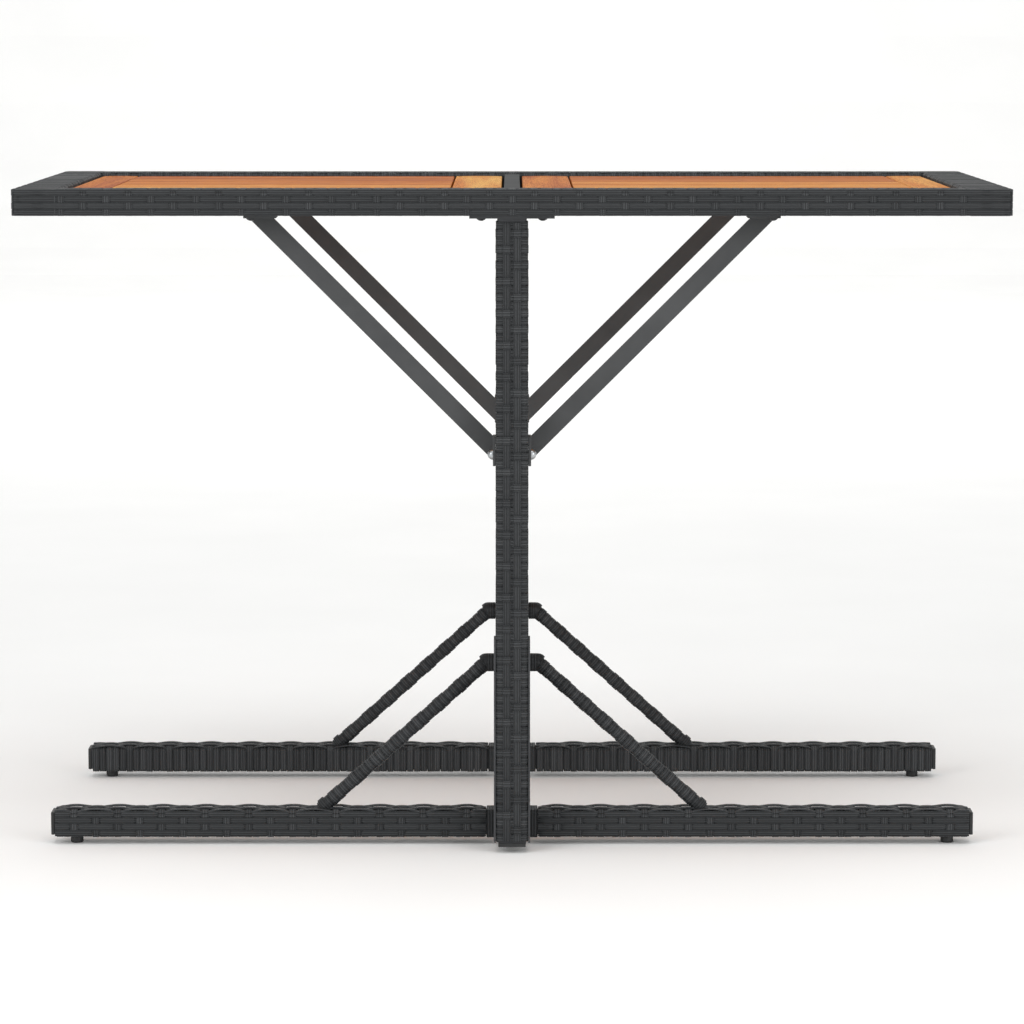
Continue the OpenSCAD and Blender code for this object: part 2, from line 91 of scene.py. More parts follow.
def feed(tree, node, **links):
    """Links sockets to a node's inputs, or sets values on them; _ stands for a space in a name, and
    i with a number for an input without one."""
    for name, value in links.items():
        key = int(name[1:]) if name[0] == "i" and name[1:].isdigit() else name.replace("_", " ")
        if isinstance(value, bpy.types.NodeSocket):
            tree.links.new(value, node.inputs[key])
        else:
            node.inputs[key].default_value = value


def add(tree, kind, settings=None, **links):
    """Adds a node: settings go on its attributes, or are a ramp's (position, hex colour) stops, and
    links feed its inputs."""
    made = tree.nodes.new(kind)
    for name, value in (settings or {}).items():
        if name != "stops":
            setattr(made, name, value)
            continue
        marks = made.color_ramp.elements
        while len(marks) < len(value):
            marks.new(0.5)
        for mark, (position, colour) in zip(marks, value):
            mark.position = position
            mark.color = linear(colour)
    feed(tree, made, **links)
    return made


def new_material(name):
    """An empty material, its tree and its Principled shader."""
    made = bpy.data.materials.new(name)
    made.use_nodes = True
    tree = made.node_tree
    return made, tree, tree.nodes["Principled BSDF"]


def powder_coat(name, dark, light):
    """Powder coat on steel: baked polyester with a fine orange-peel skin and a soft satin sheen."""
    made, tree, shader = new_material(name)
    place = add(tree, "ShaderNodeTexCoord").outputs["Object"]
    # 1.5 mm lumps of the melted powder, and slow cloudiness over some 60 mm
    peel = add(tree, "ShaderNodeTexNoise", Vector=place, Scale=650.0, Detail=2.0)
    cloud = add(tree, "ShaderNodeTexNoise", Vector=place, Scale=16.0, Detail=3.0)
    tone = add(tree, "ShaderNodeValToRGB", {"stops": [(0.3, dark), (0.7, light)]},
               Fac=cloud.outputs["Fac"])
    gloss = add(tree, "ShaderNodeMapRange", Value=cloud.outputs["Fac"], To_Min=0.52, To_Max=0.64)
    bump = add(tree, "ShaderNodeBump", Height=peel.outputs["Fac"], Strength=0.35, Distance=0.00006)
    feed(tree, shader, Base_Color=tone.outputs["Color"], Roughness=gloss.outputs["Result"],
         Normal=bump.outputs["Normal"], IOR=1.5, Specular_IOR_Level=0.12)
    return made


frame_coat = powder_coat("powder_coated_steel", "#3f4042", "#4a4b4d")


def finish_nodes(material, slot_name, *nodes):
    """Gives CAD nodes that stay as they are a real finish."""
    for name in nodes:
        piece = frame["nodes"][name]
        piece.data.materials.clear()
        piece.data.materials.append(material)


finish_nodes(frame_coat, "powder_coated_steel", "frame_tube_front", "frame_tube_back",
             "frame_tube_left", "frame_tube_right", "panel_lugs")


def eased_copy(name, node, material, radius, angle=40):
    """Stands for a CAD node with a copy of it whose sharp edges are rounded off."""
    mesh = frame["nodes"][node].data.copy()
    mesh.name = name
    shape = bmesh.new()
    shape.from_mesh(mesh)
    bmesh.ops.remove_doubles(shape, verts=shape.verts, dist=1e-6)
    bmesh.ops.dissolve_limit(shape, angle_limit=math.radians(0.5), verts=shape.verts,
                             edges=shape.edges)
    shape.to_mesh(mesh)
    shape.free()
    mesh.materials.clear()
    mesh.materials.append(material)
    piece = bpy.data.objects.new(name, mesh)
    bpy.context.scene.collection.objects.link(piece)
    bevel = piece.modifiers.new("eased_edges", "BEVEL")
    bevel.width = radius
    bevel.segments = 3
    bevel.limit_method = "ANGLE"
    bevel.angle_limit = math.radians(angle)
    bevel.harden_normals = True
    bevel.use_clamp_overlap = True
    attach(piece, "root")
    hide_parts(node)
    return piece


# The crossbar is the same coated steel as the frame, drawn with a darker copy of its coat: painted
# shade
eased_copy("crossbar", "centre_crossbar",
           powder_coat("powder_coat_crossbar_painted_shade", "#26282a", "#2d2f30"),
           radius=0.0012)

# ---------------------------------------------------------------------------------------------
# Weave of the tabletop frame: flat, grooved polyethylene strands, wound side by side round the
# tube. Long strands run over the wraps, and one wrap in six passes over each to hold it.
# ---------------------------------------------------------------------------------------------
strand_t = 0.00105
wrap_pitch = 0.00825
wrap_w = 0.0082
row_pitch = 0.0073
row_w = 0.0070
stitch_every = 6
# Half of a stitch's width, as a share of one wrap's pitch
stitch_half = 0.55


def woven_strand():
    """Extruded polyethylene strand: satin, with ribs along it that catch thin lights, and painted
    shade in the grooves between them.
    """
    made, tree, shader = new_material("polyethylene_strand")
    place = add(tree, "ShaderNodeTexCoord").outputs["Object"]
    across = add(tree, "ShaderNodeAttribute", {"attribute_name": "across"}).outputs["Fac"]
    tint = add(tree, "ShaderNodeAttribute", {"attribute_name": "tint"}).outputs["Fac"]
    # Three grooves, a third of the strand's width apart, with ribs between them and at the edges
    turn = add(tree, "ShaderNodeMath", {"operation": "MULTIPLY"}, i0=across, i1=3 * math.pi)
    wave = add(tree, "ShaderNodeMath", {"operation": "COSINE"}, i0=turn.outputs[0])
    rib = add(tree, "ShaderNodeMapRange", Value=wave.outputs[0], From_Min=1.0, From_Max=-1.0)
    # Marks some 3 mm across from the extruder, on a shade that is each turn's or strand's own
    streak = add(tree, "ShaderNodeTexNoise", Vector=place, Scale=330.0, Detail=3.0)
    shade = add(tree, "ShaderNodeMix", {"data_type": "FLOAT"}, Factor=0.3,
                i2=tint, i3=streak.outputs["Fac"])
    tone = add(tree, "ShaderNodeValToRGB", {"stops": [
        (0.2, "#323436"), (0.5, "#3c3e40"), (0.8, "#47494b")]}, Fac=shade.outputs[0])
    # The colour is darkened in the grooves and left full on the ribs: painted shade in the grooves
    painted_groove_shade = add(tree, "ShaderNodeValToRGB", {"stops": [
        (0.0, "#9a9a9a"), (0.6, "#e8e8e8"), (1.0, "#ffffff")]}, Fac=rib.outputs["Result"])
    colour = add(tree, "ShaderNodeMix", {"data_type": "RGBA", "blend_type": "MULTIPLY"},
                 Factor=1.0, i6=tone.outputs["Color"], i7=painted_groove_shade.outputs["Color"])
    gloss = add(tree, "ShaderNodeMapRange", Value=streak.outputs["Fac"], To_Min=0.46, To_Max=0.62)
    bump = add(tree, "ShaderNodeBump", Height=rib.outputs["Result"], Strength=0.9, Distance=0.0003)
    feed(tree, shader, Base_Color=colour.outputs[2], Roughness=gloss.outputs["Result"],
         Normal=bump.outputs["Normal"], IOR=1.51, Specular_IOR_Level=0.25)
    return made


strand = woven_strand()


def strand_ring(name, path, thick, width):
    """A closed turn of strand in the YZ plane. Each point of the path is y and z, then the
    direction that the strand's outer face looks in there. The two outer edges are eased."""
    ease = 0.0004
    section = [(-width / 2, 0.0, -1.0), (-width / 2 + ease, thick, -0.9),
               (width / 2 - ease, thick, 0.9), (width / 2, 0.0, 1.0)]
    vertices, across = [], []
    for y, z, out_y, out_z in path:
        for x, height, position in section:
            vertices.append((x, y + out_y * height, z + out_z * height))
            across.append(position)
    count, sides = len(path), len(section)
    quads = [(i * sides + j, i * sides + (j + 1) % sides,
              (i + 1) % count * sides + (j + 1) % sides, (i + 1) % count * sides + j)
             for i in range(count) for j in range(sides)]
    mesh = bpy.data.meshes.new(name)
    mesh.from_pydata(vertices, [], quads)
    mesh.attributes.new("across", "FLOAT", "POINT").data.foreach_set("value", across)
    shape = bmesh.new()
    shape.from_mesh(mesh)
    bmesh.ops.recalc_face_normals(shape, faces=shape.faces)
    shape.to_mesh(mesh)
    shape.free()
    loop = bpy.data.objects.new(name, mesh)
    bpy.context.scene.collection.objects.link(loop)
    return loop


def wrap_loop(name, outs, rows, thick=strand_t, width=wrap_w, corner=0.0018):
    """One wrap of strand round a tube, in the YZ plane, at four distances from its middle: +Y, +Z,
    -Y and -Z. It passes over rows: a face's number, the row's middle and half width on it."""
    normals = [(1, 0), (0, 1), (-1, 0), (0, -1)]
    # The wrap starts to climb this far before a row's edge, and is on it this far past the edge
    before, past = 0.0010, 0.0004
    path = []
    for face, normal in enumerate(normals):
        along = normals[(face + 1) % 4]
        low, high = -outs[face - 1], outs[(face + 1) % 4]
        spots = [(low + corner, 0.0), (high - corner, 0.0)]
        for where, middle, half in rows:
            if where == face:
                for side in (-1, 1):
                    foot = middle + side * (half + before)
                    top = middle + side * (half - past)
                    if low + corner < foot < high - corner:
                        spots.append((foot, 0.0))
                    spots.append((min(max(top, low + corner / 3), high - corner / 3), thick))
        spots.sort()
        for s, lift in spots:
            # Towards a corner the outer face turns, as the strand bends round it
            reach = high if s > 0 else -low
            lean = 0.45 * (s / reach) ** 5
            out = outs[face] + lift
            path.append((normal[0] * out + along[0] * s, normal[1] * out + along[1] * s,
                         normal[0] + along[0] * lean, normal[1] + along[1] * lean))
    return strand_ring(name, path, thick, width)


def new_tree(name, inputs):
    """A geometry tree with a Geometry input and output and further named inputs."""
    tree = bpy.data.node_groups.new(name, "GeometryNodeTree")
    tree.interface.new_socket("Geometry", in_out="OUTPUT", socket_type="NodeSocketGeometry")
    tree.interface.new_socket("Path", in_out="INPUT", socket_type="NodeSocketGeometry")
    for label, kind in inputs:
        tree.interface.new_socket(label, in_out="INPUT", socket_type="NodeSocket" + kind)
    return tree, tree.nodes.new("NodeGroupInput").outputs, tree.nodes.new("NodeGroupOutput").inputs


def winding_tree():
    """Wraps side by side along a path, each picked from three loops by its turn."""
    tree, given, result = new_tree("winding", [
        ("Pitch", "Float"), ("Wraps per stitch", "Int"), ("First turn", "Int"),
        ("Plain wrap", "Object"),
        ("Wrap over odd rows", "Object"), ("Wrap over even rows", "Object"),
        ("Swell", "Float"), ("Swell length", "Float"), ("Unevenness", "Float"),
        ("Strand", "Material")])
    curve = add(tree, "GeometryNodeMeshToCurve", Mesh=given["Path"])
    spaced = add(tree, "GeometryNodeResampleCurve", {"mode": "LENGTH"},
                 Curve=curve.outputs[0], Length=given["Pitch"])
    points = add(tree, "GeometryNodeCurveToPoints", {"mode": "EVALUATED"},
                 Curve=spaced.outputs[0])
    facing = add(tree, "FunctionNodeAlignRotationToVector", {"axis": "X", "pivot_axis": "Y"},
                 Vector=points.outputs["Tangent"])
    index = add(tree, "GeometryNodeInputIndex").outputs[0]
    counted = add(tree, "FunctionNodeIntegerMath", {"operation": "ADD"},
                  i0=index, i1=given["First turn"]).outputs[0]
    turn = add(tree, "FunctionNodeIntegerMath", {"operation": "MODULO"},
               i0=counted, i1=given["Wraps per stitch"]).outputs[0]
    half = add(tree, "FunctionNodeIntegerMath", {"operation": "DIVIDE"},
               i0=given["Wraps per stitch"], i1=2).outputs[0]
    odd = add(tree, "FunctionNodeCompare", {"data_type": "INT", "operation": "EQUAL"},
              i2=turn, i3=0).outputs[0]
    even = add(tree, "FunctionNodeCompare", {"data_type": "INT", "operation": "EQUAL"},
               i2=turn, i3=half).outputs[0]
    plain = add(tree, "FunctionNodeBooleanMath", {"operation": "NOR"}, i0=odd, i1=even)
    step = add(tree, "ShaderNodeMath", {"operation": "MULTIPLY"}, i0=index, i1=given["Pitch"])
    phase = add(tree, "ShaderNodeMath", {"operation": "DIVIDE"},
                i0=step.outputs[0], i1=given["Swell length"])
    circle = add(tree, "ShaderNodeMath", {"operation": "MULTIPLY"},
                 i0=phase.outputs[0], i1=2 * math.pi)
    wave = add(tree, "ShaderNodeMath", {"operation": "SINE"}, i0=circle.outputs[0])
    grow = add(tree, "ShaderNodeMath", {"operation": "MULTIPLY_ADD"},
               i0=wave.outputs[0], i1=given["Swell"], i2=1.0)
    # No two turns sit quite alike: each is wound more or less tight, leans by up to 1 degree and
    # has its own shade. The turns that hold the long strands all lie on them, so they keep a size
    slack = add(tree, "ShaderNodeMath", {"operation": "SUBTRACT"}, i0=1.0, i1=given["Unevenness"])
    tight = add(tree, "FunctionNodeRandomValue", {"data_type": "FLOAT"},
                i2=slack.outputs[0], i3=1.0, Seed=6)
    tall = add(tree, "ShaderNodeMath", {"operation": "MULTIPLY"},
               i0=grow.outputs[0], i1=tight.outputs[1])
    size = add(tree, "ShaderNodeCombineXYZ", X=1.0, Y=tight.outputs[1], Z=tall.outputs[0])
    lean = add(tree, "FunctionNodeRandomValue", {"data_type": "FLOAT_VECTOR"},
               Min=(0.0, -0.012, -0.017), Max=(0.0, 0.012, 0.017), Seed=4)
    turned = add(tree, "FunctionNodeRotateRotation", {"rotation_space": "LOCAL"},
                 Rotation=facing.outputs[0], Rotate_By=lean.outputs[0])
    shade = add(tree, "FunctionNodeRandomValue", {"data_type": "FLOAT"}, i2=0.2, i3=0.8, Seed=9)
    tinted = add(tree, "GeometryNodeStoreNamedAttribute",
                 {"data_type": "FLOAT", "domain": "POINT"},
                 Geometry=points.outputs["Points"], Name="tint", Value=shade.outputs[1])
    joined = add(tree, "GeometryNodeJoinGeometry")
    for chosen, loop in ((plain.outputs[0], "Plain wrap"), (odd, "Wrap over odd rows"),
                         (even, "Wrap over even rows")):
        scale = size.outputs[0] if loop == "Plain wrap" else (1.0, 1.0, 1.0)
        source = add(tree, "GeometryNodeObjectInfo", Object=given[loop])
        placed = add(tree, "GeometryNodeInstanceOnPoints", Points=tinted.outputs[0],
                     Selection=chosen, Instance=source.outputs["Geometry"],
                     Rotation=turned.outputs[0], Scale=scale)
        tree.links.new(placed.outputs[0], joined.inputs[0])
    real = add(tree, "GeometryNodeRealizeInstances", Geometry=joined.outputs[0])
    coated = add(tree, "GeometryNodeSetMaterial", Geometry=real.outputs[0],
                 Material=given["Strand"])
    tree.links.new(coated.outputs[0], result[0])
    return tree


def weaver_tree():
    """Long strands along their paths, which dip under the wraps that hold them."""
    tree, given, result = new_tree("weaver", [
        ("Step", "Float"), ("Stitch spacing", "Float"), ("Side stitch spacing", "Float"),
        ("First stitch", "Float"), ("Dip", "Float"), ("Arch", "Float"),
        ("Stitch half width", "Float"), ("Run in", "Float"), ("Lift up", "Float"),
        ("Lift out", "Float"), ("Width across", "Float"), ("Height up", "Float"),
        ("Shade", "Float"),
        ("Strand", "Material")])
    curve = add(tree, "GeometryNodeMeshToCurve", Mesh=given["Path"])
    level = add(tree, "GeometryNodeSetCurveNormal", {"mode": "Z_UP"}, Curve=curve.outputs[0])
    fine = add(tree, "GeometryNodeResampleCurve", {"mode": "LENGTH"},
               Curve=level.outputs[0], Length=given["Step"])
    place = add(tree, "ShaderNodeSeparateXYZ",
                Vector=add(tree, "GeometryNodeInputPosition").outputs[0])
    heading = add(tree, "ShaderNodeSeparateXYZ",
                  Vector=add(tree, "GeometryNodeInputTangent").outputs[0])
    # Stitches are counted along X or along Y from the middle. There are none round a corner, where
    # the strand heads along neither
    straight_on = 0.98
    turns, counts = [], []
    for axis, spacing in (("X", "Stitch spacing"), ("Y", "Side stitch spacing")):
        steep = add(tree, "ShaderNodeMath", {"operation": "ABSOLUTE"}, i0=heading.outputs[axis])
        turns.append(add(tree, "FunctionNodeCompare", {"data_type": "FLOAT"},
                         i0=steep.outputs[0], i1=straight_on))
        counts.append(add(tree, "ShaderNodeMath", {"operation": "DIVIDE"},
                          i0=place.outputs[axis], i1=given[spacing]))
    count = add(tree, "GeometryNodeSwitch", {"input_type": "FLOAT"}, i0=turns[1].outputs[0],
                i1=counts[0].outputs[0], i2=counts[1].outputs[0])
    straight = add(tree, "FunctionNodeBooleanMath", {"operation": "OR"},
                   i0=turns[0].outputs[0], i1=turns[1].outputs[0])
    shifted = add(tree, "ShaderNodeMath", {"operation": "SUBTRACT"},
                  i0=count.outputs[0], i1=given["First stitch"])
    offset = add(tree, "ShaderNodeMath", {"operation": "WRAP"},
                 i0=shifted.outputs[0], i1=0.5, i2=-0.5)
    near = add(tree, "ShaderNodeMath", {"operation": "ABSOLUTE"}, i0=offset.outputs[0])
    # Under a stitch the strand lies deeper by the dip, which ends at 1.7 times the stitch's half
    # width, and between two stitches it arches up
    far = add(tree, "ShaderNodeMath", {"operation": "MULTIPLY"},
              i0=given["Stitch half width"], i1=1.7)
    deep = add(tree, "ShaderNodeMath", {"operation": "MULTIPLY"}, i0=given["Dip"], i1=-1.0)
    dip = add(tree, "ShaderNodeMapRange", {"interpolation_type": "SMOOTHSTEP"},
              Value=near.outputs[0], From_Min=given["Stitch half width"],
              From_Max=far.outputs[0], To_Min=deep.outputs[0], To_Max=0.0)
    arch = add(tree, "ShaderNodeMapRange", {"interpolation_type": "SMOOTHERSTEP"},
               Value=near.outputs[0], From_Min=given["Stitch half width"], From_Max=0.5,
               To_Min=0.0, To_Max=given["Arch"])
    # It also lies flat at both ends, and rises over the run-in
    whole = add(tree, "GeometryNodeSplineLength").outputs["Length"]
    done = add(tree, "GeometryNodeSplineParameter").outputs["Length"]
    left = add(tree, "ShaderNodeMath", {"operation": "SUBTRACT"}, i0=whole, i1=done)
    from_end = add(tree, "ShaderNodeMath", {"operation": "MINIMUM"}, i0=done, i1=left.outputs[0])
    risen = add(tree, "ShaderNodeMapRange", {"interpolation_type": "SMOOTHSTEP"},
                Value=from_end.outputs[0], From_Max=given["Run in"])
    wave = add(tree, "ShaderNodeMath", {"operation": "MULTIPLY_ADD"},
               i0=arch.outputs["Result"], i1=risen.outputs["Result"], i2=dip.outputs["Result"])
    lift = add(tree, "ShaderNodeMath", {"operation": "MULTIPLY"},
               i0=wave.outputs[0], i1=straight.outputs[0])
    lift_out = add(tree, "ShaderNodeMath", {"operation": "MULTIPLY"},
                   i0=lift.outputs[0], i1=given["Lift out"])
    lift_up = add(tree, "ShaderNodeMath", {"operation": "MULTIPLY"},
                  i0=lift.outputs[0], i1=given["Lift up"])
    out = add(tree, "ShaderNodeVectorMath", {"operation": "SCALE"},
              Vector=add(tree, "GeometryNodeInputNormal").outputs[0],
              Scale=lift_out.outputs[0])
    up = add(tree, "ShaderNodeCombineXYZ", X=0.0, Y=0.0, Z=lift_up.outputs[0])
    move = add(tree, "ShaderNodeVectorMath", {"operation": "ADD"},
               i0=out.outputs[0], i1=up.outputs[0])
    shaped = add(tree, "GeometryNodeSetPosition", Geometry=fine.outputs[0],
                 Offset=move.outputs[0])
    # The section is a flat strip with edges eased by 0.35 mm, and it knows how far across it is
    strip = add(tree, "GeometryNodeCurvePrimitiveQuadrilateral", Width=given["Width across"],
                Height=given["Height up"])
    eased = add(tree, "GeometryNodeFilletCurve", Curve=strip.outputs[0], Radius=0.00035)
    spot = add(tree, "ShaderNodeSeparateXYZ",
               Vector=add(tree, "GeometryNodeInputPosition").outputs[0])
    shares = [add(tree, "ShaderNodeMath", {"operation": "DIVIDE"}, i0=spot.outputs[axis],
                  i1=given[side]) for axis, side in (("X", "Width across"), ("Y", "Height up"))]
    wide = add(tree, "FunctionNodeCompare", {"data_type": "FLOAT"},
               i0=given["Width across"], i1=given["Height up"])
    share = add(tree, "GeometryNodeSwitch", {"input_type": "FLOAT"}, i0=wide.outputs[0],
                i1=shares[1].outputs[0], i2=shares[0].outputs[0])
    across = add(tree, "ShaderNodeMath", {"operation": "MULTIPLY"}, i0=share.outputs[0], i1=2.0)
    marked = add(tree, "GeometryNodeStoreNamedAttribute",
                 {"data_type": "FLOAT", "domain": "POINT"}, Geometry=eased.outputs[0],
                 Name="across", Value=across.outputs[0])
    solid = add(tree, "GeometryNodeCurveToMesh", Curve=shaped.outputs[0],
                Profile_Curve=marked.outputs[0], Fill_Caps=True)
    tinted = add(tree, "GeometryNodeStoreNamedAttribute",
                 {"data_type": "FLOAT", "domain": "POINT"},
                 Geometry=solid.outputs[0], Name="tint", Value=given["Shade"])
    real = add(tree, "GeometryNodeRealizeInstances", Geometry=tinted.outputs[0])
    coated = add(tree, "GeometryNodeSetMaterial", Geometry=real.outputs[0],
                 Material=given["Strand"])
    tree.links.new(coated.outputs[0], result[0])
    return tree


winding = winding_tree()
weaver = weaver_tree()


def grown(tree, points, inputs, closed=False):
    """The plain mesh that a tree grows along a path, with every named input set."""
    path = bpy.data.meshes.new("path")
    edges = [(i, i + 1) for i in range(len(points) - 1)]
    path.from_pydata(points, edges + ([(len(points) - 1, 0)] if closed else []), [])
    carrier = bpy.data.objects.new("path", path)
    bpy.context.scene.collection.objects.link(carrier)
    modifier = carrier.modifiers.new("grow", "NODES")
    modifier.node_group = tree
    sockets = {s.name: s.identifier for s in tree.interface.items_tree
               if s.item_type == "SOCKET" and s.in_out == "INPUT"}
    for label, value in inputs.items():
        modifier[sockets[label]] = value
    carrier.update_tag()
    view = bpy.context.evaluated_depsgraph_get()
    mesh = bpy.data.meshes.new_from_object(carrier.evaluated_get(view))
    carrier.modifiers.remove(modifier)
    bpy.data.objects.remove(carrier)
    return mesh


def joined_piece(name, placed, nodes):
    """One piece from several (mesh, matrix) pairs; it stands for the CAD nodes."""
    shape = bmesh.new()
    for mesh, matrix in placed:
        mesh.transform(matrix)
        shape.from_mesh(mesh)
    mesh = bpy.data.meshes.new(name)
    shape.to_mesh(mesh)
    shape.free()
    mesh.materials.append(strand)
    piece = bpy.data.objects.new(name, mesh)
    bpy.context.scene.collection.objects.link(piece)
    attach(piece, "root")
    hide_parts(*nodes)
    return piece


def windings(length, loops, pitch=wrap_pitch, every=stitch_every):
    """Wraps along X over a length, with the three loops (plain, odd, even). A stitch of the odd
    rows is always at the middle."""
    turns = 2 * round((length / pitch - 1) / 2)
    end = turns * pitch / 2
    return grown(winding, [(-end, 0, 0), (end, 0, 0)], {
        "Pitch": pitch, "Wraps per stitch": every, "First turn": -(turns // 2) % every,
        "Plain wrap": loops[0], "Wrap over odd rows": loops[1], "Wrap over even rows": loops[2],
        "Swell": 0.0, "Swell length": 1.0, "Unevenness": 0.03, "Strand": strand})


def row_on_face(length, phase, arch, width=row_w, thick=strand_t, pitch=wrap_pitch,
                every=stitch_every):
    """One long strand along X that lies flat with its underside at Z = 0."""
    return grown(weaver, [(-length / 2, 0, thick / 2), (length / 2, 0, thick / 2)], {
        "Step": pitch / 3, "Stitch spacing": every * pitch, "Side stitch spacing": 1.0,
        "First stitch": phase / 2, "Dip": thick, "Arch": arch,
        "Stitch half width": stitch_half / every, "Run in": 2 * pitch, "Lift up": 1.0,
        "Lift out": 0.0, "Width across": width, "Height up": thick, "Shade": 0.25 + 0.2 * phase,
        "Strand": strand})


def face_matrix(face, out, shift):
    """Moves a strip from Z = 0 on to a face of the tube: 0 +Y, 1 +Z, 2 -Y, 3 -Z."""
    turn = Matrix.Rotation(math.radians((-90, 0, 90, 180)[face]), 4, "X")
    return turn @ Matrix.Translation((0, shift, out))


# The frame's tube, seen along each side, and where its rows of long strands lie
top_low, top_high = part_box("weave_top_front")
tube_low, tube_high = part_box("frame_tube_front")
half_l, half_w = cad_high.x, cad_high.y
frame_mid_z = (tube_low.z + tube_high.z) / 2
tube_out = (tube_high.y - tube_low.y) / 2
tube_up = (tube_high.z - tube_low.z) / 2
sleeve_w = top_high.y - top_low.y
# On the short sides the wraps are spaced a little wider, so that 63 of them fill a side
side_pitch = wrap_pitch * 1.0185
front_length = 2 * (half_l - sleeve_w)
# The rows on top run on by half of this at each end, in under the short sides' wraps
row_overlap = 0.03
rim_rows = [row_pitch * (k - 1.5) for k in range(4)]
top_rows = [row_pitch * (k - 2) for k in range(5)]

# The loops pass over every second row of the outer face (+Y here) and of the top (+Z). Where there
# are no rows, the wraps stand off by a little more than a strand's thickness, as far out as rows do
bare = strand_t * 1.08
long_outs = (tube_out, tube_up, tube_out + bare, tube_up + bare)
short_outs = (tube_out, tube_up + bare, tube_out + bare, tube_up + bare)
long_loops = [wrap_loop("wrap_long_plain", long_outs, [])]
short_loops = [wrap_loop("wrap_short_plain", short_outs, [])]
for start in (0, 1):
    outer = [(0, shift, row_w / 2) for shift in rim_rows[start::2]]
    above = [(1, -shift, row_w / 2) for shift in top_rows[start::2]]
    long_loops.append(wrap_loop(f"wrap_long_{start}", long_outs, outer + above))
    short_loops.append(wrap_loop(f"wrap_short_{start}", short_outs, outer))

wraps, rows = [], []
for quarter in range(4):
    long_side = quarter % 2 == 0
    away = (half_w if long_side else half_l) - sleeve_w / 2
    spot = Matrix.Rotation(math.radians(90 * quarter), 4, "Z") @ Matrix.Translation(
        (0, away, frame_mid_z))
    if long_side:
        wraps.append((windings(front_length, long_loops), spot))
        for number, shift in enumerate(top_rows):
            flat = row_on_face(front_length + row_overlap, number % 2, 0.0)
            rows.append((flat, spot @ face_matrix(1, tube_up + strand_t, shift)))
    else:
        wraps.append((windings(2 * half_w, short_loops, pitch=side_pitch), spot))

# Four strands run right round the rim, with rounded corners
corner_r = 0.006
corner_steps = 6
rim_path = []
for corner_x, corner_y, start in ((1, -1, -90), (1, 1, 0), (-1, 1, 90), (-1, -1, 180)):
    for step in range(corner_steps + 1):
        angle = math.radians(start + 90 / corner_steps * step)
        rim_path.append((
            corner_x * (half_l - strand_t / 2 - corner_r) + corner_r * math.cos(angle),
            corner_y * (half_w - strand_t / 2 - corner_r) + corner_r * math.sin(angle)))
for number, shift in enumerate(rim_rows):
    rim = grown(weaver, [(x, y, frame_mid_z + shift) for x, y in rim_path], {
        "Step": wrap_pitch / 3, "Stitch spacing": stitch_every * wrap_pitch,
        "Side stitch spacing": stitch_every * side_pitch, "First stitch": number % 2 / 2,
        "Dip": strand_t, "Arch": 0.0, "Stitch half width": stitch_half / stitch_every,
        "Run in": 0.01, "Lift up": 0.0, "Lift out": 1.0, "Width across": strand_t,
        "Height up": row_w, "Shade": 0.25 + 0.2 * (number % 2), "Strand": strand}, closed=True)
    rows.append((rim, Matrix.Identity(4)))
top_nodes = [f"weave_top_{side}" for side in ("front", "back", "left", "right")]
joined_piece("frame_wraps", wraps, top_nodes)
joined_piece("frame_long_strands", rows, top_nodes)

# ---------------------------------------------------------------------------------------------
# Two panels of oiled acacia: five long boards between two cross boards, laid with small gaps and
# screwed from below to sawn battens. Every edge is eased, and no two boards have the same shade.
# ---------------------------------------------------------------------------------------------


